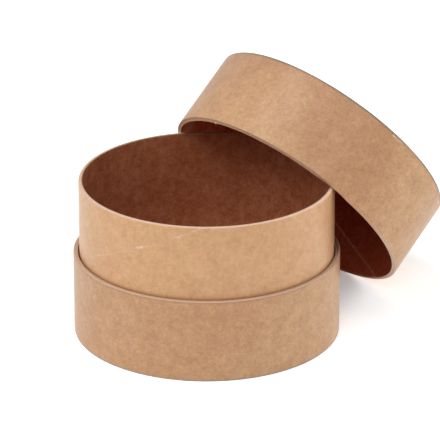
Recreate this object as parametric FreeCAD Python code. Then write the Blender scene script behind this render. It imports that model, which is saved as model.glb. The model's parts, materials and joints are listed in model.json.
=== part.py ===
import FreeCAD, Part
import math
import os

# A round cardboard tube box in five pieces. The base is a short wound tube with a glued
# bottom disc. A longer, narrower neck tube stands on that disc inside it. The lid is a second
# short tube of the base's stock, with its own disc glued into the closed end, and it slides
# over the neck until it meets the base's rim. Here the lid is off: the lowest point of its
# mouth stands on the ground, and the inner edge of its mouth leans on the neck's rim at two
# points.
#
# Frame: origin at the centre of the base's underside, +Z up, +X towards the leaning lid.

# ---- Driving dimensions, in millimetres and degrees ----
TUBE_OUTER_DIAMETER = 120.0    # base tube and lid tube, cut from the same stock
TUBE_WALL = 2.2
BASE_TUBE_HEIGHT = 38.0
LID_TUBE_HEIGHT = 38.0
NECK_WALL = 1.8
NECK_EXPOSED_HEIGHT = 34.0     # how far the neck stands out of the base
NECK_RUNNING_GAP = 0.5         # radial gap between the neck and each tube around it
DISC_THICKNESS = 2.0
DISC_RECESS = 0.5              # each disc lies this far inside its tube's cut edge
DISC_GLUE_GAP = 0.05           # radial glue line between a disc and its tube
TUBE_EDGE_ROUND = 0.4          # the tubes' cut edges are slightly crushed round
DISC_EDGE_ROUND = 0.2
LARGEST_ROUND = 0.45           # the largest edge rounding, as a share of the board
LID_TILT = 51.65               # lid's axis from the vertical
LEAN_GAP = 0.02                # left between the leaning lid and the neck, on square edges
LEAN_TOLERANCE = 0.002
LEAN_STEPS = 200

# ---- Sizes that follow from them ----
TUBE_OUTER_RADIUS = TUBE_OUTER_DIAMETER / 2
TUBE_INNER_RADIUS = TUBE_OUTER_RADIUS - TUBE_WALL
NECK_OUTER_RADIUS = TUBE_INNER_RADIUS - NECK_RUNNING_GAP
NECK_INNER_RADIUS = NECK_OUTER_RADIUS - NECK_WALL
NECK_TOP_HEIGHT = BASE_TUBE_HEIGHT + NECK_EXPOSED_HEIGHT
DISC_RADIUS = TUBE_INNER_RADIUS - DISC_GLUE_GAP
BASE_DISC_TOP = DISC_RECESS + DISC_THICKNESS
LID_DISC_UNDERSIDE = LID_TUBE_HEIGHT - DISC_RECESS - DISC_THICKNESS


def in_section(radius, height):
    """Point of a half section, in the XZ plane."""
    return FreeCAD.Vector(radius, 0, height)


def line(start, end):
    """Straight edge between two points."""
    return Part.LineSegment(start, end).toShape()


def quarter_arc(centre_radius, centre_height, size, start_angle):
    """Quarter circle of a half section, anticlockwise from start_angle in degrees."""
    points = []
    for turn in (0, 45, 90):
        angle = math.radians(start_angle + turn)
        radius = centre_radius + size * math.cos(angle)
        height = centre_height + size * math.sin(angle)
        points.append(in_section(radius, height))
    return Part.Arc(*points).toShape()


def edge_round(wanted, board):
    """Radius of a board's crushed cut edge, never more than its thickness allows."""
    return min(wanted, board * LARGEST_ROUND)


def turned(edges):
    """Solid made by turning the closed outline of these edges about the Z axis."""
    section = Part.Face(Part.Wire(edges))
    return section.revolve(FreeCAD.Vector(0, 0, 0), FreeCAD.Vector(0, 0, 1), 360)


def tube(inner_radius, outer_radius, bottom, top):
    """Upright tube with its four cut edges rounded."""
    size = edge_round(TUBE_EDGE_ROUND, outer_radius - inner_radius)
    corners = [
        quarter_arc(outer_radius - size, bottom + size, size, 270),
        quarter_arc(outer_radius - size, top - size, size, 0),
        quarter_arc(inner_radius + size, top - size, size, 90),
        quarter_arc(inner_radius + size, bottom + size, size, 180),
    ]
    edges = []
    for corner, following in zip(corners, corners[1:] + corners[:1]):
        edges.append(corner)
        edges.append(line(corner.Vertexes[-1].Point, following.Vertexes[0].Point))
    return turned(edges)


def disc(underside):
    """Flat round board that fits inside a base or lid tube, with both rim edges rounded."""
    size = edge_round(DISC_EDGE_ROUND, DISC_THICKNESS)
    top = underside + DISC_THICKNESS
    lower_edge = quarter_arc(DISC_RADIUS - size, underside + size, size, 270)
    upper_edge = quarter_arc(DISC_RADIUS - size, top - size, size, 0)
    return turned([
        line(in_section(0, underside), lower_edge.Vertexes[0].Point),
        lower_edge,
        line(lower_edge.Vertexes[-1].Point, upper_edge.Vertexes[0].Point),
        upper_edge,
        line(upper_edge.Vertexes[-1].Point, in_section(0, top)),
        line(in_section(0, top), in_section(0, underside)),
    ])


def box_pieces():
    """The base tube, its bottom disc, and the neck that stands on the disc."""
    return {
        "base_tube": tube(TUBE_INNER_RADIUS, TUBE_OUTER_RADIUS, 0, BASE_TUBE_HEIGHT),
        "base_disc": disc(DISC_RECESS),
        "neck_tube": tube(NECK_INNER_RADIUS, NECK_OUTER_RADIUS, BASE_DISC_TOP, NECK_TOP_HEIGHT),
    }


def lid_pieces():
    """The lid tube, mouth down on the ground at the origin, and the disc in its top."""
    return {
        "lid_tube": tube(TUBE_INNER_RADIUS, TUBE_OUTER_RADIUS, 0, LID_TUBE_HEIGHT),
        "lid_disc": disc(LID_DISC_UNDERSIDE),
    }


def tilted_beside_box():
    """Placement that tilts the lid onto its mouth's lowest point, well clear of the box."""
    tilt = math.radians(LID_TILT)
    size = edge_round(TUBE_EDGE_ROUND, TUBE_WALL)
    # The mouth's outer edge is a ring of small arcs, and the lowest arc touches the ground.
    rise = (TUBE_OUTER_RADIUS - size) * math.sin(tilt) - size * math.cos(tilt) + size
    start = FreeCAD.Vector(2 * TUBE_OUTER_DIAMETER, 0, rise)
    return FreeCAD.Placement(start, FreeCAD.Rotation(FreeCAD.Vector(0, 1, 0), LID_TILT))


def plain_lid():
    """The lid as one cup with square edges, which the real lid lies just inside."""
    outside = Part.makeCylinder(TUBE_OUTER_RADIUS, LID_TUBE_HEIGHT)
    return outside.cut(Part.makeCylinder(TUBE_INNER_RADIUS, LID_DISC_UNDERSIDE))


def plain_box():
    """The base and neck as one stepped block with square edges."""
    base = Part.makeCylinder(TUBE_OUTER_RADIUS, BASE_TUBE_HEIGHT)
    return base.fuse(Part.makeCylinder(NECK_OUTER_RADIUS, NECK_TOP_HEIGHT))


def leaning_placement():
    """Placement that leans the lid on the box.

    The tilted lid slides along the ground by the room that is left, which can never carry it
    past the first contact, until it is LEAN_GAP away.
    """
    lid, box = plain_lid(), plain_box()
    placement = tilted_beside_box()
    for _ in range(LEAN_STEPS):
        lid.Placement = placement
        room = lid.distToShape(box)[0] - LEAN_GAP
        if room < LEAN_TOLERANCE:
            break
        placement.move(FreeCAD.Vector(-room, 0, 0))
    return placement


def main():
    """Build every piece and write one STEP file for each."""
    lid = lid_pieces()
    placement = leaning_placement()
    for shape in lid.values():
        shape.Placement = placement
    os.makedirs("parts", exist_ok=True)
    for name, shape in {**box_pieces(), **lid}.items():
        shape.exportStep(os.path.join("parts", name + ".step"))


main()
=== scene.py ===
import json
import logging
import math
from dataclasses import dataclass, field
from enum import Enum
from functools import cache, cached_property

import bpy
import numpy as np
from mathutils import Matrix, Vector

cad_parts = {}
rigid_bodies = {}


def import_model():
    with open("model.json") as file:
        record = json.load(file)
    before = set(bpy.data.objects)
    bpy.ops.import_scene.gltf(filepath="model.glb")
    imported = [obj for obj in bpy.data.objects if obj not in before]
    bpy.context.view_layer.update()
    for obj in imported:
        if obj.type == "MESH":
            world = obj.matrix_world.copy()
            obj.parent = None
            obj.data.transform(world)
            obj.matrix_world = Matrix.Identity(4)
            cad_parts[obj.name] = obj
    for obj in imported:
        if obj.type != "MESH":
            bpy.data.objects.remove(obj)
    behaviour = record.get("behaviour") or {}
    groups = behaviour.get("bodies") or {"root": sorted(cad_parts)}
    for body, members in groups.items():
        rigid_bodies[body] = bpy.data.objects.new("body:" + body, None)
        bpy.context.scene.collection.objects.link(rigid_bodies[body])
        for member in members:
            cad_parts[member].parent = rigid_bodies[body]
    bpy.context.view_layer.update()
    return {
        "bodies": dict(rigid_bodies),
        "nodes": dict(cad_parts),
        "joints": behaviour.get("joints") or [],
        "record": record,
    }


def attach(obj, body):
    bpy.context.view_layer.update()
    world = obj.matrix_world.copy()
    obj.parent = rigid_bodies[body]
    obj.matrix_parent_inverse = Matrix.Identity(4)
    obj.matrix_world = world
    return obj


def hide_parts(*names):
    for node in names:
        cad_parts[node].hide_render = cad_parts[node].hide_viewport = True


# Dresses a round cardboard box made of wound tubes: a base tube, a neck tube that stands in it
# and a lid that leans on the neck's rim. Each tube has its wound seams and its cut edges, and
# the base and the lid have a disc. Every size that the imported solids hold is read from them.
# Lengths are in metres.

LOG = logging.getLogger("tube_box")
MM = 0.001
WINDING_ANGLE = math.radians(23.3)    # of the paper strips, from the tube's cut edge
PLIES = 5                             # layers of paper through a tube's wall
ARC_STEPS = 6                         # parts of a rounded corner of the wall
FAR = 9.0                             # so far from a seam, a cut or a spot that it doesn't show
STRIP_MAP = "strip"                   # UV map of the place along and across the wound strip

Colour = tuple[float, float, float]
Socket = bpy.types.NodeSocket
Array = np.ndarray


class Side(Enum):
    """The faces of a tube's board. Each value is the number of its material slot."""

    OUTSIDE = 0
    INSIDE = 1
    MOUTH_EDGE = 2
    CLOSED_EDGE = 3


# ---- Node helper -------------------------------------------------------------------------


class ShaderBench:
    """A material's or world's node tree, with short ways to add and join nodes."""

    def __init__(self, owner: bpy.types.ID) -> None:
        """Clears the owner's nodes.

        Args:
            owner: a material or a world.
        """
        owner.use_nodes = True
        self.tree = owner.node_tree
        self.tree.nodes.clear()

    @cached_property
    def place(self) -> Socket:
        """Coordinates in the piece's own space."""
        return self.add("TexCoord").outputs["Object"]

    def add(self, kind: str, inputs: dict | None = None, **settings: object) -> bpy.types.Node:
        """Adds a node.

        Args:
            kind: the node's type, without the leading "ShaderNode".
            inputs: value or socket for each input, by name or by number.
            **settings: the node's own properties.

        Returns:
            The new node.
        """
        node = self.tree.nodes.new("ShaderNode" + kind)
        for name, value in settings.items():
            setattr(node, name, value)
        for key, value in (inputs or {}).items():
            if isinstance(value, Socket):
                self.tree.links.new(value, node.inputs[key])
            else:
                node.inputs[key].default_value = value
        return node

    def attribute(self, name: str) -> Socket:
        """Number that a piece holds at each vertex under a name."""
        return self.add("Attribute", attribute_name=name).outputs["Fac"]

    def math(self, operation: str, *values: object, clamp: bool = False) -> Socket:
        """Result of a Math node for numbers or sockets, kept between 0 and 1 if clamp is True."""
        inputs = dict(enumerate(values))
        return self.add("Math", inputs, operation=operation, use_clamp=clamp).outputs[0]

    def remap(self, value: object, low: float, high: float, to_low: float = 0.0,
              to_high: float = 1.0) -> Socket:
        """A value brought smoothly from the range low to high to another, and held at its ends."""
        inputs = {0: value, 1: low, 2: high, 3: to_low, 4: to_high}
        return self.add("MapRange", inputs, interpolation_type="SMOOTHSTEP").outputs[0]

    def ramp(self, value: object, stops: list[tuple[float, Colour]]) -> Socket:
        """Colour read from a ramp.

        Args:
            value: the socket that runs along the ramp.
            stops: place and colour of each stop, in order.

        Returns:
            The colour's socket.
        """
        node = self.add("ValToRGB", {0: value})
        elements = node.color_ramp.elements
        while len(elements) < len(stops):
            elements.new(1.0)
        for element, (place, colour) in zip(elements, stops):
            element.position = place
            element.color = (*colour, 1.0)
        return node.outputs[0]

    def blend(self, share: object, first: object, second: object, mode: str = "MIX") -> Socket:
        """Two colours or sockets mixed, with a share from 0 to 1 of the second."""
        colours = {key: value if isinstance(value, Socket) else (*value, 1.0)
                   for key, value in ((6, first), (7, second))}
        return self.add("Mix", {0: share, **colours}, data_type="RGBA", blend_type=mode).outputs[2]

    def noise(self, scale: float, detail: float = 2.0, roughness: float = 0.5,
              vector: Socket | None = None) -> Socket:
        """Noise between 0 and 1, in the piece's own space unless other coordinates are given."""
        inputs = {"Vector": self.place if vector is None else vector, "Scale": scale,
                  "Detail": detail, "Roughness": roughness}
        return self.add("TexNoise", inputs).outputs[0]

    def seen(self) -> Socket:
        """Tells rays that show the surroundings from rays that light the box.

        Returns:
            A socket with 1 for a ray from the camera, off gloss or through glass, and else 0.
        """
        path = self.add("LightPath").outputs
        straight = self.math("ADD", path["Is Camera Ray"], path["Is Glossy Ray"])
        return self.math("ADD", straight, path["Is Transmission Ray"], clamp=True)


# ---- Finishes ----------------------------------------------------------------------------


@dataclass(frozen=True)
class EdgeBand:
    """Paper beside a cut edge, darker or paler than the rest, fading away from the cut. On some
    outer papers the band is painted shade or a painted highlight.
    """

    colour: Colour = (0.30, 0.16, 0.10)
    share: float = 0.0      # of the colour, where it is strongest
    full: float = 0.2       # distance from the cut where it is still strongest, in millimetres
    gone: float = 1.0       # distance where it has faded away

    def over(self, bench: ShaderBench, colour: Socket, distance: str) -> Socket:
        """Colour with the band over it.

        Args:
            bench: the material's nodes.
            colour: colour away from the edge.
            distance: name of the attribute that holds the distance from the cut.

        Returns:
            The colour's socket.
        """
        # The band's end wanders by up to 0.4 mm, and its strength is patchy.
        ragged = bench.math("MULTIPLY_ADD", bench.noise(500.0, 3.0, 0.7), 0.8, -0.4)
        away = bench.math("ADD", bench.attribute(distance), ragged)
        level = bench.remap(away, self.full, self.gone, self.share, 0.0)
        patchy = bench.remap(bench.noise(60.0), 0.35, 0.65, 0.65, 1.15)
        return bench.blend(bench.math("MULTIPLY", level, patchy, clamp=True), colour, self.colour)


@dataclass(frozen=True)
class ToneDrift:
    """A drift of tone that follows a noise, as factors of the colour at both of its ends."""

    start: float = 0.3      # noise where the drift starts
    stop: float = 0.7       # noise where it ends
    at_start: Colour = (1.0, 1.0, 1.0)
    at_stop: Colour = (1.0, 1.0, 1.0)
    shift: tuple[float, float, float] = (0.10, 0.0, 0.05)       # which part of the noise is used
    scale: float = 9.0
    detail: float = 1.0
    roughness: float = 0.5

    def over(self, bench: ShaderBench, colour: Socket) -> Socket:
        """Colour with the drift over it.

        Args:
            bench: the material's nodes.
            colour: the even colour.

        Returns:
            The colour's socket.
        """
        place = bench.add("Mapping", {"Vector": bench.place, "Location": self.shift}).outputs[0]
        noise = bench.noise(self.scale, self.detail, self.roughness, place)
        area = bench.remap(noise, self.start, self.stop)
        return bench.blend(1.0, colour, bench.blend(area, self.at_start, self.at_stop), "MULTIPLY")


# All paper drifts between yellower and bluer, and between pinker and greener.
BLUE_DRIFT = ToneDrift(0.3, 0.7, (1.0, 1.0, 0.94), (1.0, 1.0, 1.06), (0.0, 0.0, 0.0),
                       210.0, 3.0, 0.9)
GREEN_DRIFT = ToneDrift(0.3, 0.7, (1.0, 0.964, 1.0), (1.0, 1.036, 1.0), (0.37, 0.11, 0.53),
                        230.0, 3.0, 0.9)


class Finish:
    """What every finish shares: its torn spots and painted patches, its relief and its shader."""

    name: str
    fibre: Colour           # of the bare fibre in a torn spot, or of a patch of painted shade or painted light
    roughness: float
    specular: float
    relief: float

    @cache
    def make(self) -> bpy.types.Material:
        """Builds the material, once for all the pieces that have it.

        Returns:
            The material.
        """
        material = bpy.data.materials.new(self.name)
        bench = ShaderBench(material)
        colour, height = self._look(bench)
        # A spot shows the finish's fibre colour: torn or rubbed paper, or a patch of painted shade
        # or painted light.
        patch = bench.add("Attribute", attribute_name="patch_place").outputs["Vector"]
        away = bench.add("VectorMath", {0: patch}, operation="LENGTH").outputs["Value"]
        patch_share = bench.math("MULTIPLY", bench.remap(away, 0.5, 1.2, 1.0, 0.0),
                          bench.attribute("patch_strength"))
        bump = bench.add("Bump", {"Height": height, "Distance": self.relief, "Strength": 1.0})
        shader = bench.add("BsdfPrincipled", {
            "Base Color": bench.blend(patch_share, colour, self.fibre),
            "Roughness": self.roughness,
            "Specular IOR Level": self.specular,
            "Normal": bump.outputs[0],
        })
        bench.add("OutputMaterial", {"Surface": shader.outputs[0]})
        return material

    def _look(self, bench: ShaderBench) -> tuple[Socket, Socket]:
        """Sockets of the colour and of the relief, which each kind of finish makes its own way."""
        raise NotImplementedError


@dataclass(frozen=True)
class PaperFace(Finish):
    """A wound paper surface: mottle of every size, fibre, specks, edge bands and a rubbed seam."""

    name: str
    colour: Colour
    mouth_band: EdgeBand = EdgeBand()
    closed_band: EdgeBand = EdgeBand()
    mottle: float = 1.1             # how far the mottle changes the lightness
    speckle: float = 0.60           # how far the finest grain changes it
    bark: float = 0.22              # how dark the specks of bark are
    fibre: Colour = (0.86, 0.70, 0.55)
    broad: ToneDrift = ToneDrift()
    roughness: float = 0.40
    specular: float = 0.5
    relief: float = 0.03 * MM

    def _look(self, bench: ShaderBench) -> tuple[Socket, Socket]:
        """Colour and grain of the paper: speckle every way, and fibre along the wound strip.

        Args:
            bench: the material's nodes.

        Returns:
            The sockets of the colour and of the relief.
        """
        speckle = bench.noise(780.0, 2.0, 0.8)
        strip = bench.add("UVMap", uv_map=STRIP_MAP).outputs[0]
        stretched = bench.add("Mapping", {"Vector": strip, "Scale": (260.0, 1300.0, 1.0)})
        fibre = bench.noise(1.0, 2.0, 0.6, stretched.outputs[0])
        grain = bench.math("ADD", bench.math("MULTIPLY", speckle, 0.65),
                           bench.math("MULTIPLY", fibre, 0.35))
        colour = self._specks(bench, self._tone(bench, grain))
        colour = self.mouth_band.over(bench, colour, "from_mouth")
        colour = self.closed_band.over(bench, colour, "from_closed")
        return self._seam(bench, colour), grain

    def _tone(self, bench: ShaderBench, grain: Socket) -> Socket:
        """Paper colour with its uneven lightness and its drift of tone.

        Args:
            bench: the material's nodes.
            grain: the fine grain.

        Returns:
            The colour's socket.
        """
        mottle = bench.math("MULTIPLY", bench.noise(120.0, 4.6, 1.0), self.mottle)
        level = bench.math("MULTIPLY_ADD", grain, self.speckle, mottle)
        level = bench.math("ADD", level, 0.5 - (self.mottle + self.speckle) / 2)
        # Pale spots are less saturated than dark ones, so the weaker channels change more.
        roots = [channel**0.45 for channel in self.colour]
        swings = [0.5 * sum(roots) / (3 * root) for root in roots]
        dark = tuple(channel * (1.0 - swing) for channel, swing in zip(self.colour, swings))
        pale = tuple(channel * (1.0 + swing) for channel, swing in zip(self.colour, swings))
        tone = bench.blend(level, dark, pale)
        for drift in (BLUE_DRIFT, GREEN_DRIFT, self.broad):
            tone = drift.over(bench, tone)
        return tone

    def _specks(self, bench: ShaderBench, colour: Socket) -> Socket:
        """Sparse darker specks of bark in the pulp.

        Args:
            bench: the material's nodes.
            colour: colour under the specks.

        Returns:
            The colour's socket.
        """
        cells = bench.add("TexVoronoi", {"Vector": bench.place, "Scale": 330.0}).outputs
        size = bench.remap(cells["Distance"], 0.05, 0.16, 1.0, 0.0)
        chance = bench.noise(9000.0, 0.0, vector=cells["Position"])
        share = bench.math("MULTIPLY", size, bench.remap(chance, 0.62, 0.70, 0.0, self.bark))
        return bench.blend(share, colour, tuple(channel * 0.45 for channel in self.colour))

    def _seam(self, bench: ShaderBench, colour: Socket) -> Socket:
        """The seam between turns of the strip: a faint joint, and pale rubbed fibre.

        Args:
            bench: the material's nodes.
            colour: colour beside the seam.

        Returns:
            The colour's socket.
        """
        # The joint fades out 0.35 mm each way. The rubbed fibre wanders and is frayed.
        across = bench.attribute("seam_mm")
        joint = bench.remap(bench.math("ABSOLUTE", across), 0.05, 0.35, 0.09, 0.0)
        jointed = bench.blend(joint, colour, tuple(channel * 0.4 for channel in self.colour))
        wander = bench.math("MULTIPLY_ADD", bench.noise(700.0), 0.9, -0.45)
        away = bench.math("ABSOLUTE", bench.math("ADD", across, wander))
        rubbed = bench.math("MULTIPLY", bench.remap(away, 0.05, 0.85, 1.0, 0.0),
                            bench.attribute("scuff"))
        fray = bench.remap(bench.noise(1100.0, 3.0, 0.7), 0.36, 0.60, 0.15, 1.0)
        return bench.blend(bench.math("MULTIPLY", rubbed, fray), jointed, self.fibre)


@dataclass(frozen=True)
class CutBoard(Finish):
    """A sawn edge of wound board: the plies show as fine rings through the wall."""

    name: str
    skin: Colour            # of the outermost layer of paper
    core: Colour
    lining: Colour          # of the innermost layer
    line: Colour            # of the glue between layers
    fibre: Colour = (0.90, 0.78, 0.64)
    broad: ToneDrift = ToneDrift()
    skin_reach: float = 0.30        # how far through the wall the skin's colour goes
    lining_reach: float = 0.14      # and the lining's, from inside
    roughness: float = 0.7
    specular: float = 0.12
    relief: float = 0.05 * MM

    def _look(self, bench: ShaderBench) -> tuple[Socket, Socket]:
        """Colour and fuzz of the cut.

        Args:
            bench: the material's nodes.

        Returns:
            The sockets of the colour and of the relief.
        """
        # The rings waver by a twentieth of the wall, and a line of glue parts each from the next.
        uneven = bench.math("MULTIPLY_ADD", bench.noise(300.0), 0.10, -0.05)
        layer = bench.math("ADD", bench.attribute("depth"), uneven)
        ply = bench.math("FRACT", bench.math("MULTIPLY", layer, PLIES))
        rings = bench.ramp(ply, [(0.0, self.line), (0.16, self.core), (0.84, self.core),
                                 (1.0, self.line)])
        reach = self.skin_reach
        toned = bench.blend(bench.remap(layer, reach, reach + 0.14, 1.0, 0.0), rings, self.skin)
        start = 1.0 - self.lining_reach
        toned = bench.blend(bench.remap(layer, start, start + 0.08), toned, self.lining)
        fuzz = bench.noise(900.0, 3.0, 0.8)
        grey = bench.ramp(fuzz, [(0.3, (0.80, 0.79, 0.78)), (0.7, (1.0, 1.0, 1.0))])
        return self.broad.over(bench, bench.blend(1.0, toned, grey, "MULTIPLY")), fuzz


OUTER_PAPER = PaperFace(
    "brown_tube_paper", (0.522, 0.286, 0.142), mottle=1.2, speckle=0.70,
    mouth_band=EdgeBand((0.30, 0.17, 0.10), 0.45, 0.5, 1.3),
    # Painted shade along the foot, where the base stands on the ground.
    closed_band=EdgeBand((0.33, 0.285, 0.23), 0.85, 0.25, 1.4),
    broad=ToneDrift(0.47, 0.64, (1.0, 0.957, 0.92), (1.007, 1.045, 1.05)))
LID_OUTER_PAPER = PaperFace(
    "lid_tube_paper", (0.506, 0.272, 0.133), mottle=1.2, speckle=0.70,
    # Painted shade: a dark line along the edge of the lid's closed end.
    closed_band=EdgeBand((0.17, 0.135, 0.085), 0.95, 0.3, 1.45),
    broad=ToneDrift(0.31, 0.51, (0.925, 0.893, 0.885), (1.075, 1.11, 1.08)))
NECK_PAPER = PaperFace(
    "neck_paper", (0.635, 0.351, 0.169), mottle=0.9, speckle=0.45,
    # Painted highlight on the rounded lip of the neck's mouth.
    mouth_band=EdgeBand((0.82, 0.58, 0.42), 0.85, -0.2, 0.5),
    # Painted shade on the neck just above the base's rim, and on the neck below it.
    closed_band=EdgeBand((0.30, 0.16, 0.09), 0.34, 35.5, 36.8))
# The liners' colour is darker and redder than the outside paper: painted shade for the shade inside
# the tubes. The broad drift is painted light and painted shade across the inside.
LINER_PAPER = PaperFace(
    "liner_paper_painted_shade", (0.338, 0.110, 0.049), mottle=2.2, speckle=1.1, bark=0.15,
    mouth_band=EdgeBand(share=0.5), fibre=(0.42, 0.18, 0.10), roughness=0.6, specular=0.12,
    broad=ToneDrift(0.25, 0.45, (0.95, 0.92, 0.90), (1.25, 1.40, 1.45)))
# A darker, redder copy of the liner for the lid: painted shade for the deep shade inside the lid.
# Its broad drift is painted light and painted shade, and its pale fibre colour serves both torn
# fibre at the mouth and a patch of painted light.
LID_LINER_PAINTED_SHADE = PaperFace(
    "lid_liner_painted_shade", (0.33, 0.048, 0.014), mottle=2.2, speckle=1.1, bark=0.15,
    mouth_band=EdgeBand(share=0.5), fibre=(0.66, 0.34, 0.19), roughness=0.6, specular=0.10,
    broad=ToneDrift(0.25, 0.75, (1.78, 3.1, 4.6), (0.88, 0.98, 1.0)))
DISC_PAPER = PaperFace("disc_paper", (0.50, 0.275, 0.14))
# The dark fibre colour is painted shade on the base's rim under the lid.
MOUTH_CUT = CutBoard(
    "cut_tube_board", (0.71, 0.49, 0.355), (0.64, 0.44, 0.32), (0.45, 0.26, 0.17),
    (0.52, 0.34, 0.24), fibre=(0.16, 0.08, 0.04))
# A paler copy of the base's cut edge for the lid's mouth: painted light. Its broad drift paints
# shade on one side of the mouth and light on the other.
LID_MOUTH_CUT = CutBoard(
    "cut_lid_board_painted_light", (0.98, 0.75, 0.56), (0.92, 0.65, 0.465), (0.62, 0.37, 0.25),
    (0.66, 0.44, 0.31),
    broad=ToneDrift(0.40, 0.58, (0.84, 0.71, 0.61), (1.03, 1.13, 1.21), (3.51, 1.87, 2.58)))
# The neck's pale cut skin is partly the paler cut board and partly a painted highlight on the lit
# lip. Its dark fibre colour is painted shade on the rim under the lid.
NECK_CUT = CutBoard(
    "cut_neck_board", (0.87, 0.615, 0.45), (0.57, 0.41, 0.30), (0.22, 0.10, 0.06),
    (0.42, 0.29, 0.21), fibre=(0.16, 0.06, 0.03), skin_reach=0.66)
# The dark skin is painted shade along the outer corner of each closed end.
CLOSED_CUT = CutBoard(
    "closed_edge_with_painted_shade", (0.17, 0.14, 0.11), (0.58, 0.41, 0.28), (0.40, 0.25, 0.16),
    (0.38, 0.26, 0.17), skin_reach=0.13)


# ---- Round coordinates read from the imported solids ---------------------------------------


def corner_places(solid: bpy.types.Object) -> Array:
    """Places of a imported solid's vertices, one a row."""
    return np.array([vertex.co for vertex in solid.data.vertices])


@dataclass(frozen=True)
class RoundSize:
    """Place, radii and height of a packed tube or disc, about its own axis."""

    foot: Array             # on the axis, at height 0
    frame: Array            # directions of turn 0, of a quarter turn and of the axis, one a row
    inner: float
    outer: float
    height: float

    @classmethod
    def of(cls, solid: bpy.types.Object, axis: Array) -> "RoundSize":
        """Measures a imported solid.

        Args:
            solid: the solid's object.
            axis: direction of its axis, from its mouth or foot.

        Returns:
            The solid's size and place. A disc's inner radius means nothing.
        """
        zero = np.array((1.0, 0.0, 0.0)) - axis[0] * axis
        zero /= np.linalg.norm(zero)
        frame = np.stack([zero, np.cross(axis, zero), axis])
        local = corner_places(solid) @ frame.T
        low, high = local.min(0), local.max(0)
        middle = (low + high) / 2
        radii = np.hypot(*(local[:, :2] - middle[:2]).T)
        foot = np.array((middle[0], middle[1], low[2])) @ frame
        return cls(foot, frame, radii.min(), radii.max(), high[2] - low[2])

    def places(self, radius: Array, turn: Array, height: Array) -> Array:
        """Points in the shared frame.

        Args:
            radius: distance of each point from the axis.
            turn: angle of each point about the axis, in radians.
            height: distance of each point along the axis.

        Returns:
            The points, with their coordinates in the last dimension.
        """
        zero, quarter, axis = self.frame
        outward = np.cos(turn)[..., None] * zero + np.sin(turn)[..., None] * quarter
        return self.foot + outward * radius[..., None] + axis * height[..., None]


# ---- Mesh making -------------------------------------------------------------------------


def wobble(turn: Array, seed: int, waves: int = 9) -> Array:
    """A small smooth unevenness round a piece, the same on every run.

    Args:
        turn: angles in radians.
        seed: picks the unevenness.
        waves: how many waves of different lengths it has.

    Returns:
        Values from 0 to 1.
    """
    chance = np.random.default_rng(seed)
    total = np.zeros_like(turn)
    weight = 0.0
    for count in range(2, 2 + waves):
        share = 1.0 / count
        total += share * np.cos(count * turn + chance.uniform(0, math.tau))
        weight += share
    return 0.5 + 0.5 * total / weight


@dataclass(frozen=True)
class ScuffMark:
    """A short stretch of a seam where its paper is rubbed pale."""

    height: float           # of the mark's middle, above the tube's foot
    length: float           # of the mark, up the tube
    strength: float


@dataclass(frozen=True)
class NickOrPaintedLight:
    """A spot where the paper's skin is torn off or rubbed, or a patch of painted shade or painted
    light.
    """

    turn: float             # round the tube, in degrees
    depth: float            # through the wall, 0 outside and 1 inside
    height: float           # above the tube's foot
    length: float           # round the tube
    width: float            # up the tube
    strength: float
    flake: float = 0.0      # how far torn fibre stands out of the mouth's inner edge


@dataclass(frozen=True)
class Seam:
    """The joint between neighbouring turns of a tube's outermost or innermost strip."""

    foot_turn: float                        # where it leaves the tube's foot, in degrees
    depth: float = 0.05 * MM
    marks: tuple[ScuffMark, ...] = ()
    base_scuff: float = 0.10

    def scuff(self, height: Array) -> Array:
        """How rubbed the seam is.

        Args:
            height: heights above the tube's foot.

        Returns:
            Values from 0 to 1.
        """
        level = np.full_like(height, self.base_scuff)
        for mark in self.marks:
            reach = (height - mark.height) / (mark.length / 2)
            level = np.maximum(level, mark.strength * np.exp(-(reach**4)))
        return level


@dataclass
class SectionRow:
    """One ring of a tube's section, on the way round it."""

    radius: float
    height: float
    side: Side


@dataclass
class Shape:
    """A piece's mesh, as arrays."""

    places: Array                   # of the vertices
    faces: list                     # vertex numbers of each face
    sides: Array                    # material slot of each face
    values: dict[str, Array]        # what the finishes read at each vertex, by name
    strip: Array                    # place of each face corner along and across the strip


def ring_quads(rings: int, columns: int, closed: bool) -> Array:
    """Faces between neighbouring rings of vertices.

    Args:
        rings: how many rings there are.
        columns: how many vertices each has.
        closed: True if faces join the last ring to the first.

    Returns:
        One row of four vertex numbers for each face.
    """
    rows = np.arange(rings if closed else rings - 1)
    row, column = np.meshgrid(rows, np.arange(columns), indexing="ij")
    above, beside = (row + 1) % rings, (column + 1) % columns
    return np.stack([row * columns + column, row * columns + beside,
                     above * columns + beside, above * columns + column], -1).reshape(-1, 4)


def linked(name: str, data: bpy.types.ID) -> bpy.types.Object:
    """Puts a new object into the scene.

    Args:
        name: the object's name.
        data: its mesh, lamp or camera.

    Returns:
        The object.
    """
    thing = bpy.data.objects.new(name, data)
    bpy.context.scene.collection.objects.link(thing)
    return thing


def apart(turn: Array, degrees: float) -> Array:
    """Signed angle from a given turn, in degrees, to each of the others, in radians."""
    return (turn - math.radians(degrees) + math.pi) % math.tau - math.pi


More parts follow.
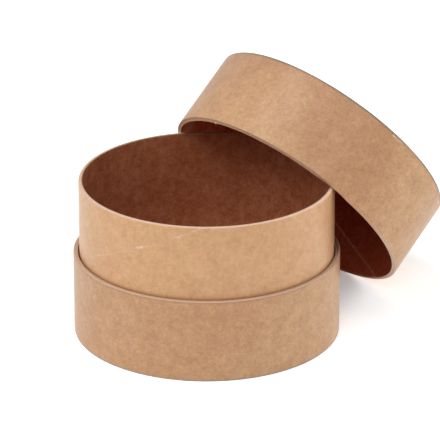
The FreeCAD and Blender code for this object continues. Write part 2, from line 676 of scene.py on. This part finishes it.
@dataclass
class Piece:
    """A piece of board: its names, its finishes and how it goes into the scene."""

    name: str
    node: str
    body: str
    slot: str
    finishes: tuple[Finish, ...]        # one for each material slot
    seed: int
    size: RoundSize = field(init=False)

    def build(self, solid: bpy.types.Object, axis: Array) -> bpy.types.Object:
        """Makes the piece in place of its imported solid.

        Args:
            solid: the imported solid.
            axis: direction of the piece's axis, from its mouth or foot.

        Returns:
            The piece's object.
        """
        self.size = RoundSize.of(solid, axis)
        shape = self._shape()
        mesh = bpy.data.meshes.new(self.name)
        mesh.from_pydata(shape.places.reshape(-1, 3).tolist(), [], shape.faces)
        mesh.polygons.foreach_set("material_index", shape.sides.astype(np.int32))
        mesh.shade_smooth()
        for name, values in shape.values.items():
            kind, entry = ("FLOAT_VECTOR", "vector") if values.ndim == 3 else ("FLOAT", "value")
            layer = mesh.attributes.new(name, kind, "POINT")
            layer.data.foreach_set(entry, values.astype(np.float32).ravel())
        strip = mesh.uv_layers.new(name=STRIP_MAP)
        strip.uv.foreach_set("vector", shape.strip.astype(np.float32).ravel())
        for finish in self.finishes:
            mesh.materials.append(finish.make())
        piece = linked(self.name, mesh)
        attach(piece, self.body)
        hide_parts(self.node)
        return piece

    def _shape(self) -> Shape:
        """The piece's mesh, which each kind of piece makes its own way."""
        raise NotImplementedError


@dataclass
class WoundTube(Piece):
    """A wound board tube, with its seams, its crushed and sawn edges and its plies."""

    outside_seam: Seam
    inside_seam: Seam
    mouth_at_top: bool
    row_pitch: float = 1.0 * MM
    column_pitch: float = 1.15 * MM
    mouth_round: float = 0.4 * MM   # of the mouth's outer edge
    edge_round: float = 0.4 * MM    # of the other three edges
    burr: float = 0.0               # how far the saw left the mouth's inner edge standing out
    burr_reach: float = 1.5         # how far from the mouth it starts, in millimetres
    touches: tuple[float, ...] = ()     # turns where another piece flattens it, in degrees
    touch_press: float = 0.67           # how much of it is flattened there
    touch_reach: float = 0.12           # how far round that goes, in radians
    nicks_and_painted_light: tuple[NickOrPaintedLight, ...] = ()
    patch_reach: float = 0.45            # how far through the wall a spot goes each way
    slack: float = 0.06 * MM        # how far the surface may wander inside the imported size
    cut_wander: float = 0.12 * MM   # how uneven the saw cuts are
    cut_reach: float = 4.0 * MM     # how far from an end its unevenness goes
    ply_groove: float = 0.05 * MM   # depth, and half the width, of the groove between two plies
    seam_groove: float = 0.16 * MM  # half the width of a seam's groove
    seam_steps: tuple[float, ...] = (0.06, 0.13, 0.22, 0.34, 0.5, 0.8, 1.2)     # in millimetres
    rows: list[SectionRow] = field(init=False)      # once round the section
    turns: Array = field(init=False)                # of the columns at the tube's foot

    def _shape(self) -> Shape:
        """Sweeps the section round the tube, along the wound strip.

        Returns:
            The tube's mesh.
        """
        self.rows, self.turns = self._section(), self._columns()
        places, values = self._surface()
        faces = ring_quads(len(self.rows), len(self.turns), closed=True)
        sides = np.repeat([row.side.value for row in self.rows], len(self.turns))
        return Shape(places, faces.tolist(), sides, values, self._unroll())

    def _climb(self) -> float:
        """Turn of a seam for each metre of height, in radians."""
        return 1.0 / (self.size.outer * math.tan(WINDING_ANGLE))

    def _edge_arc(self, centre: tuple[float, float], size: float, start: float, side_first: Side,
                  side_last: Side) -> list[SectionRow]:
        """Rows round one crushed corner of the section.

        Args:
            centre: radius and height of the arc's middle.
            size: radius of the arc.
            start: angle where the arc begins, in degrees from outward.
            side_first: side of the arc's first half.
            side_last: side of its second half.

        Returns:
            The rows, in order.
        """
        rows = []
        for step in range(ARC_STEPS + 1):
            angle = math.radians(start + 90.0 * step / ARC_STEPS)
            side = side_first if step < ARC_STEPS // 2 else side_last
            rows.append(SectionRow(centre[0] + size * math.cos(angle),
                                   centre[1] + size * math.sin(angle), side))
        return rows

    def _cut_rows(self, first: float, last: float, height: float, inward: float,
                  side: Side) -> list[SectionRow]:
        """Rows across a sawn edge, with a fine groove between plies.

        Args:
            first: radius where the flat edge starts.
            last: radius where it ends.
            height: the edge's height.
            inward: direction into the board, 1 or -1 along the axis.
            side: the edge's side.

        Returns:
            The rows between both ends, in order.
        """
        outer, wall, groove = self.size.outer, self.size.outer - self.size.inner, self.ply_groove
        rows = [SectionRow(outer - wall * ply / PLIES + offset, height + inward * depth, side)
                for ply in range(1, PLIES)
                for offset, depth in ((groove, 0.0), (0.0, groove), (-groove, 0.0))]
        rows = [row for row in rows if min(first, last) < row.radius < max(first, last)]
        return sorted(rows, key=lambda row: row.radius, reverse=first > last)

    def _section(self) -> list[SectionRow]:
        """Rows once round the section: up outside, over the top, down inside, back under.

        Returns:
            The rows, in order.
        """
        size, edge = self.size, self.edge_round
        at_top = self.mouth_at_top
        top_round, foot_round = (self.mouth_round, edge) if at_top else (edge, self.mouth_round)
        top_edge = Side.MOUTH_EDGE if at_top else Side.CLOSED_EDGE
        foot_edge = Side.CLOSED_EDGE if at_top else Side.MOUTH_EDGE
        top_outer, foot_outer = size.outer - top_round, size.outer - foot_round
        inner, top = size.inner + edge, size.height
        rows = self._edge_arc((foot_outer, foot_round), foot_round, -90.0, foot_edge, Side.OUTSIDE)
        rows += self._wall_rows(size.outer, foot_round, top - top_round, Side.OUTSIDE)
        rows += self._edge_arc((top_outer, top - top_round), top_round, 0.0, Side.OUTSIDE, top_edge)
        rows += self._cut_rows(top_outer, inner, top, -1.0, top_edge)
        rows += self._edge_arc((inner, top - edge), edge, 90.0, top_edge, Side.INSIDE)
        rows += self._wall_rows(size.inner, top - edge, edge, Side.INSIDE)
        rows += self._edge_arc((inner, edge), edge, 180.0, Side.INSIDE, foot_edge)
        rows += self._cut_rows(inner, foot_outer, 0.0, 1.0, foot_edge)
        return rows

    def _wall_rows(self, radius: float, first: float, last: float, side: Side) -> list[SectionRow]:
        """Rows up or down a wall, from its first height to its last, without both ends."""
        levels = np.linspace(first, last, max(2, round(abs(last - first) / self.row_pitch)) + 1)
        return [SectionRow(radius, level, side) for level in levels[1:-1]]

    def _columns(self) -> Array:
        """Turns of the columns at the tube's foot. They climb with the strip, and crowd at a seam.

        Returns:
            Angles in radians, rising, from 0 to less than a full turn.
        """
        steps = np.array(self.seam_steps) * MM / (self.size.outer * math.sin(WINDING_ANGLE))
        crowd = np.concatenate([-steps[::-1], [0.0], steps])
        count = round(math.tau * self.size.outer / self.column_pitch)
        even = np.arange(count) * math.tau / count
        reach = steps[-1] + 0.4 * math.tau / count
        columns = []
        for seam in (self.outside_seam, self.inside_seam):
            even = even[np.abs(apart(even, seam.foot_turn)) > reach]
            columns.append((math.radians(seam.foot_turn) + crowd) % math.tau)
        return np.sort(np.concatenate([even, *columns]))

    def _surface(self) -> tuple[Array, dict[str, Array]]:
        """Places every vertex.

        Returns:
            The vertices, and a value of each surface attribute for every vertex.
        """
        shape = (len(self.rows), len(self.turns))
        section = np.array([(row.radius, row.height) for row in self.rows])
        radius, height = (np.broadcast_to(column[:, None], shape) for column in section.T)
        depth = (self.size.outer - radius) / (self.size.outer - self.size.inner)
        turn = self.turns + height * self._climb()
        outward = 1.0 - np.clip(depth * 2.0, 0.0, 1.0)
        inward = np.clip(depth * 2.0 - 1.0, 0.0, 1.0)
        radius = radius - self.slack * wobble(turn, self.seed)
        seam_mm = np.full(shape, FAR)
        scuff = np.zeros(shape)
        faces = ((self.outside_seam, outward, -1.0), (self.inside_seam, inward, 1.0))
        for seam, share, way in faces:
            across = apart(self.turns, seam.foot_turn) * self.size.outer * math.sin(WINDING_ANGLE)
            groove = np.exp(-((across / self.seam_groove) ** 2)) * seam.depth
            radius = radius + way * groove * share
            on_side = share > 0.5
            seam_mm = np.where(on_side, across / MM, seam_mm)
            scuff = np.where(on_side, seam.scuff(height), scuff)
        from_mouth, from_closed = (self.size.height - height) / MM, height / MM
        if not self.mouth_at_top:
            from_mouth, from_closed = from_closed, from_mouth
        height = self._uneven_cuts(height, turn)
        place, strength = self._nearest_patch(turn, height, depth)
        near_mouth = np.clip(1.0 - from_mouth / self.burr_reach, 0.0, 1.0)
        standing = inward * near_mouth * self.burr * self._ragged(turn)
        height = height + (standing if self.mouth_at_top else -standing)
        values = {"depth": depth, "seam_mm": seam_mm, "scuff": scuff, "patch_place": place,
                  "patch_strength": strength, "from_mouth": from_mouth, "from_closed": from_closed}
        return self.size.places(radius, turn, height), values

    def _nearest_patch(self, turn: Array, height: Array, depth: Array) -> tuple[Array, Array]:
        """Where each vertex lies from the nearest spot, as shares of the spot's half sizes.

        Args:
            turn: each vertex's turn.
            height: each vertex's height.
            depth: each vertex's depth through the wall.

        Returns:
            Place round, up and through the wall in the last dimension, and the spot's strength.
        """
        place = np.full((*turn.shape, 3), FAR)
        strength = np.zeros_like(turn)
        for patch in self.nicks_and_painted_light:
            along = apart(turn, patch.turn) * self.size.outer / (patch.length / 2)
            up = (height - patch.height) / (patch.width / 2)
            this = np.stack([along, up, (depth - patch.depth) / self.patch_reach], -1)
            nearer = np.linalg.norm(this, axis=-1) < np.linalg.norm(place, axis=-1)
            place = np.where(nearer[..., None], this, place)
            strength = np.where(nearer, patch.strength, strength)
        return place, strength

    def _ragged(self, turn: Array) -> Array:
        """Share of the burr that stands out at each turn.

        Args:
            turn: each vertex's turn.

        Returns:
            The shares, about 1 on average, and less where another piece presses on it.
        """
        share = 0.6 + 0.8 * wobble(turn, self.seed + 2, 40)
        for touch in self.touches:
            reach = apart(turn, touch) / self.touch_reach
            share = share * (1.0 - self.touch_press * np.exp(-(reach**4)))
        for patch in self.nicks_and_painted_light:
            if patch.flake:
                reach = apart(turn, patch.turn) * self.size.outer / (patch.length / 2)
                share = share + patch.flake / self.burr * np.exp(-(reach**4))
        return share

    def _uneven_cuts(self, height: Array, turn: Array) -> Array:
        """Moves rows near the ends with the slight waves of the saw cuts.

        Args:
            height: each vertex's height.
            turn: each vertex's turn.

        Returns:
            The new heights.
        """
        near = self.cut_reach
        top = np.clip((height - (self.size.height - near)) / near, 0.0, 1.0)
        fall = self.cut_wander * wobble(turn, self.seed + 1, 24)
        if self.mouth_at_top:
            return height - top * fall
        foot = np.clip((near - height) / near, 0.0, 1.0)
        return height - top * fall + foot * fall * 0.5

    def _unroll(self) -> Array:
        """Place of each face corner along and across the wound strip.

        Returns:
            The places, with both coordinates in the last dimension.
        """
        inside = [row.side is Side.INSIDE for row in self.rows]
        start = np.where(inside, math.radians(self.inside_seam.foot_turn),
                         math.radians(self.outside_seam.foot_turn))[:, None]
        left = (self.turns - start + 1e-6) % math.tau
        step = (np.roll(self.turns, -1) - self.turns) % math.tau
        heights = np.array([row.height for row in self.rows])[:, None]
        corners = []
        for right, up in ((0, 0), (1, 0), (1, 1), (0, 1)):
            level = np.roll(heights, -up, 0)
            arc = self.size.outer * (left + right * step + level * self._climb())
            along = arc * math.cos(WINDING_ANGLE) + level * math.sin(WINDING_ANGLE)
            across = level * math.cos(WINDING_ANGLE) - arc * math.sin(WINDING_ANGLE)
            corners.append(np.stack([along, across], -1))
        return np.stack(corners, 2)


@dataclass
class BoardDisc(Piece):
    """A die-cut disc of board, glued into the closed end of a tube."""

    outside_on_top: bool        # True if the disc's axis points out of the face seen from outside
    columns: int = 220
    ring_pitch: float = 2.4 * MM
    edge_round: float = 0.2 * MM
    sag: float = 0.08 * MM

    def _shape(self) -> Shape:
        """Turns the disc's rings about its axis, and closes both middles.

        Returns:
            The disc's mesh.
        """
        radii, heights = self._section()
        places = self._surface(radii, heights)
        rings, wide = len(radii), self.columns
        faces = ring_quads(rings, wide, closed=False).tolist()
        foot, top, last = rings * wide, rings * wide + 1, (rings - 1) * wide
        for column in range(wide):
            beside = (column + 1) % wide
            faces.append((foot, beside, column))
            faces.append((top, last + column, last + beside))
        upper = [max(face) >= (rings // 2) * wide and foot not in face for face in faces]
        sides = np.where(np.array(upper) == self.outside_on_top, 0, 1)
        levels = {"seam_mm": FAR, "scuff": 0.0, "patch_strength": 0.0, "from_mouth": FAR,
                  "from_closed": FAR}
        values = {name: np.full(len(places), level) for name, level in levels.items()}
        plane = (places - self.size.foot) @ self.size.frame[:2].T
        strip = plane[[corner for face in faces for corner in face]]
        return Shape(places, faces, sides, values, strip)

    def _section(self) -> tuple[Array, Array]:
        """Rings from the foot's middle, round the rim, to the top's middle.

        Returns:
            Radius and height of each ring.
        """
        edge, thickness = self.edge_round, self.size.height
        flat = self.size.outer - edge
        rings = np.linspace(0.0, flat, round(flat / self.ring_pitch))[1:]
        angles = np.radians(np.linspace(-90.0, 90.0, 9))[1:-1]
        rim_radii = flat + edge * np.cos(angles)
        middle = thickness / 2
        rim_heights = middle + (middle - edge) * np.sign(np.sin(angles)) + edge * np.sin(angles)
        radii = np.concatenate([rings, rim_radii, rings[::-1]])
        heights = np.concatenate([np.zeros(len(rings)), rim_heights, np.full(len(rings), thickness)])
        return radii, heights

    def _surface(self, radii: Array, heights: Array) -> Array:
        """Places every vertex, with the board's faces slightly uneven.

        Args:
            radii: the rings' radii.
            heights: the rings' heights.

        Returns:
            The rings' vertices, then the middle of the foot and of the top.
        """
        size = self.size
        turns = np.arange(self.columns) * math.tau / self.columns
        radius, turn = np.broadcast_arrays(radii[:, None], turns[None, :])
        share = np.clip(radius / size.outer, 0.0, 1.0)
        dip = self.sag * (1.0 - share**2) * (0.6 + 0.4 * wobble(turn, self.seed, 4) * share)
        height = np.broadcast_to(heights[:, None], radius.shape)
        height = np.where(height > size.height / 2, height - dip, height + dip)
        rings = size.places(radius, turn, height).reshape(-1, 3)
        ends = np.array([self.sag * 0.6, size.height - self.sag * 0.6])
        return np.concatenate([rings, size.places(np.zeros(2), np.zeros(2), ends)])


# ---- The box and the lid -----------------------------------------------------------------


@dataclass
class OpenBox:
    """The base tube, its disc and the neck that stands in it."""

    base: WoundTube = field(default_factory=lambda: WoundTube(
        "base_tube_wound", "base_tube", "box", "outer_tube_board",
        (OUTER_PAPER, LINER_PAPER, MOUTH_CUT, CLOSED_CUT), 11,
        Seam(12.0), Seam(230.0), mouth_at_top=True,
        # The patch on the rim's end under the lid is painted shade.
        nicks_and_painted_light=(NickOrPaintedLight(-32.0, 0.5, 38.1 * MM, 48.0 * MM, 6.0 * MM, 0.85),)))
    neck: WoundTube = field(default_factory=lambda: WoundTube(
        "neck_tube_wound", "neck_tube", "box", "neck_board",
        (NECK_PAPER, LINER_PAPER, NECK_CUT, CLOSED_CUT), 23,
        Seam(62.4, marks=(
            ScuffMark(46.2 * MM, 3.6 * MM, 0.30),
            ScuffMark(52.6 * MM, 2.4 * MM, 0.25),
            ScuffMark(57.2 * MM, 2.4 * MM, 0.75),
            ScuffMark(65.0 * MM, 1.8 * MM, 0.85),
            ScuffMark(68.4 * MM, 2.0 * MM, 0.35),
        ), base_scuff=0.08), Seam(136.0), mouth_at_top=True, mouth_round=0.7 * MM,
        # The patch at 45 degrees is painted shade on the rim under the lid.
        cut_wander=0.03 * MM, nicks_and_painted_light=(NickOrPaintedLight(45.0, 0.5, 69.5 * MM, 30.0 * MM, 4.0 * MM, 0.8),)))
    disc: BoardDisc = field(default_factory=lambda: BoardDisc(
        "base_disc_board", "base_disc", "box", "disc_board", (DISC_PAPER, LINER_PAPER), 31,
        outside_on_top=False))

    def build(self, nodes: dict[str, bpy.types.Object]) -> list[bpy.types.Object]:
        """Makes the box's pieces.

        Args:
            nodes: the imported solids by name.

        Returns:
            The pieces.
        """
        up = np.array((0.0, 0.0, 1.0))
        return [piece.build(nodes[piece.node], up) for piece in (self.base, self.neck, self.disc)]


@dataclass
class LeaningLid:
    """The lid's tube and the disc in its closed end."""

    tube: WoundTube = field(default_factory=lambda: WoundTube(
        "lid_tube_wound", "lid_tube", "lid", "outer_tube_board",
        (LID_OUTER_PAPER, LID_LINER_PAINTED_SHADE, LID_MOUTH_CUT, CLOSED_CUT), 47,
        Seam(-10.0), Seam(-28.2, depth=0.02 * MM, base_scuff=0.42), mouth_at_top=False,
        burr=0.72 * MM, touches=(123.6, -123.6), nicks_and_painted_light=(
            NickOrPaintedLight(170.7, 1.0, -0.6 * MM, 1.6 * MM, 2.4 * MM, 1.0, flake=0.5 * MM),
            # Painted light inside the lid, near where it rests on the neck.
            NickOrPaintedLight(122.0, 1.0, 7.0 * MM, 26.0 * MM, 13.0 * MM, 0.7),
            NickOrPaintedLight(-115.3, 0.0, 36.5 * MM, 1.6 * MM, 1.4 * MM, 0.6),
            NickOrPaintedLight(-111.0, 0.0, 36.6 * MM, 3.0 * MM, 0.8 * MM, 0.3),
        )))
    disc: BoardDisc = field(default_factory=lambda: BoardDisc(
        "lid_disc_board", "lid_disc", "lid", "disc_board", (DISC_PAPER, LID_LINER_PAINTED_SHADE), 53,
        outside_on_top=True))

    def build(self, nodes: dict[str, bpy.types.Object]) -> list[bpy.types.Object]:
        """Makes the lid's pieces.

        Args:
            nodes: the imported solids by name.

        Returns:
            The pieces.
        """
        tube, disc = nodes[self.tube.node], nodes[self.disc.node]
        away = corner_places(disc).mean(0) - corner_places(tube).mean(0)
        flat_face = max(disc.data.polygons, key=lambda face: face.area)
        axis = np.array(flat_face.normal)
        axis /= np.linalg.norm(axis) * np.sign(axis @ away)
        return [self.tube.build(tube, axis), self.disc.build(disc, axis)]


# ---- Studio ------------------------------------------------------------------------------


@dataclass(frozen=True)
class Softbox:
    """A rectangular area lamp that faces the box."""

    name: str
    turn: float             # degrees round the box from the camera, positive to its right
    rise: float             # degrees above the ground
    width: float
    height: float
    power: float


@dataclass
class Studio:
    """White ground, plain soft light and the camera."""

    camera_turn: float = -44.64         # degrees round the box, 0 looking along +Y
    camera_rise: float = 24.45
    camera_distance: float = 1.6316
    aim: tuple[float, float, float] = (4.16 * MM, -4.24 * MM, 51.75 * MM)
    lens: float = 294.1
    sensor: float = 36.0
    view_end: float = 20.0
    sky: float = 0.19
    ground_reach: float = 3.0
    ground_albedo: float = 0.93                     # that lights the box
    ground_seen: Colour = (1.24, 1.30, 1.34)        # that the camera sees
    ground_glow: float = 0.21
    lamp_distance: float = 1.3
    boxes: tuple[Softbox, ...] = (
        Softbox("left_softbox", -95.0, 24.0, 1.4, 0.95, 5.2),
        Softbox("right_softbox", 111.0, 18.0, 1.4, 0.7, 11.6),
        Softbox("front_softbox", 5.0, 38.0, 0.9, 0.45, 5.5),
        Softbox("upper_left_softbox", -60.0, 60.0, 0.9, 0.9, 7.0),
    )

    def build(self) -> None:
        """Makes the ground, the light and the camera."""
        self._ground()
        self._sky()
        for box in self.boxes:
            self._lamp(box)
        self._camera()
        bpy.context.scene.view_settings.view_transform = "Standard"

    def _direction(self, turn: float, rise: float) -> Vector:
        """Unit vector from the box, by degrees round it from -Y and degrees above the ground."""
        around, up = math.radians(turn), math.radians(rise)
        return Vector((math.sin(around) * math.cos(up), -math.cos(around) * math.cos(up),
                       math.sin(up)))

    def _hang(self, name: str, data: bpy.types.ID, place: Vector, gaze: Vector) -> bpy.types.Object:
        """Puts a lamp or a camera in its place.

        Args:
            name: the object's name.
            data: the lamp or the camera.
            place: where it stands.
            gaze: the direction that it faces.

        Returns:
            The object.
        """
        holder = linked(name, data)
        holder.location = place
        holder.rotation_euler = gaze.to_track_quat("-Z", "Y").to_euler()
        return holder

    def _ground(self) -> None:
        """Lays a white ground, brighter to the camera than to the box, that keeps its shadow."""
        reach = self.ground_reach
        corners = ((-reach, -reach), (reach, -reach), (reach, reach), (-reach, reach))
        mesh = bpy.data.meshes.new("ground")
        mesh.from_pydata([(x, y, 0.0) for x, y in corners], [], [(0, 1, 2, 3)])
        material = bpy.data.materials.new("white_ground")
        mesh.materials.append(material)
        bench = ShaderBench(material)
        seen, albedo = bench.seen(), (self.ground_albedo,) * 3
        matt = bench.add("BsdfDiffuse", {"Color": bench.blend(seen, albedo, self.ground_seen)})
        glow = bench.add("Emission", {"Strength": bench.math("MULTIPLY", seen, self.ground_glow)})
        both = bench.add("AddShader", {0: matt.outputs[0], 1: glow.outputs[0]})
        bench.add("OutputMaterial", {"Surface": both.outputs[0]})
        linked("ground", mesh)

    def _sky(self) -> None:
        """Even white surroundings, brighter to the camera than to the box."""
        world = bpy.data.worlds.new("white_surroundings")
        bpy.context.scene.world = world
        bench = ShaderBench(world)
        strength = bench.remap(bench.seen(), 0.0, 1.0, self.sky, 1.0)
        light = bench.add("Background", {"Color": (1.0, 1.0, 1.0, 1.0), "Strength": strength})
        bench.add("OutputWorld", {"Surface": light.outputs[0]})

    def _lamp(self, box: Softbox) -> None:
        """Hangs one softbox.

        Args:
            box: the softbox.
        """
        lamp = bpy.data.lights.new(box.name, "AREA")
        lamp.shape = "RECTANGLE"
        lamp.size = box.width
        lamp.size_y = box.height
        lamp.energy = box.power
        direction = self._direction(self.camera_turn + box.turn, box.rise)
        place = Vector(self.aim) + direction * self.lamp_distance
        self._hang(box.name, lamp, place, -direction)

    def _camera(self) -> None:
        """Sets the camera a long way off, with a long lens."""
        camera = bpy.data.cameras.new("camera")
        camera.lens = self.lens
        camera.sensor_width = self.sensor
        camera.clip_end = self.view_end
        place = self._direction(self.camera_turn, self.camera_rise) * self.camera_distance
        bpy.context.scene.camera = self._hang("camera", camera, place, Vector(self.aim) - place)


def main() -> None:
    """Builds the box, the lid and the studio, in that order."""
    logging.basicConfig(level=logging.INFO, format="%(name)s: %(message)s")
    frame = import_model()
    for assembly in (OpenBox(), LeaningLid()):
        for piece in assembly.build(frame["nodes"]):
            LOG.info("%s has %d faces", piece.name, len(piece.data.polygons))
    Studio().build()


if __name__ == "__main__":
    main()
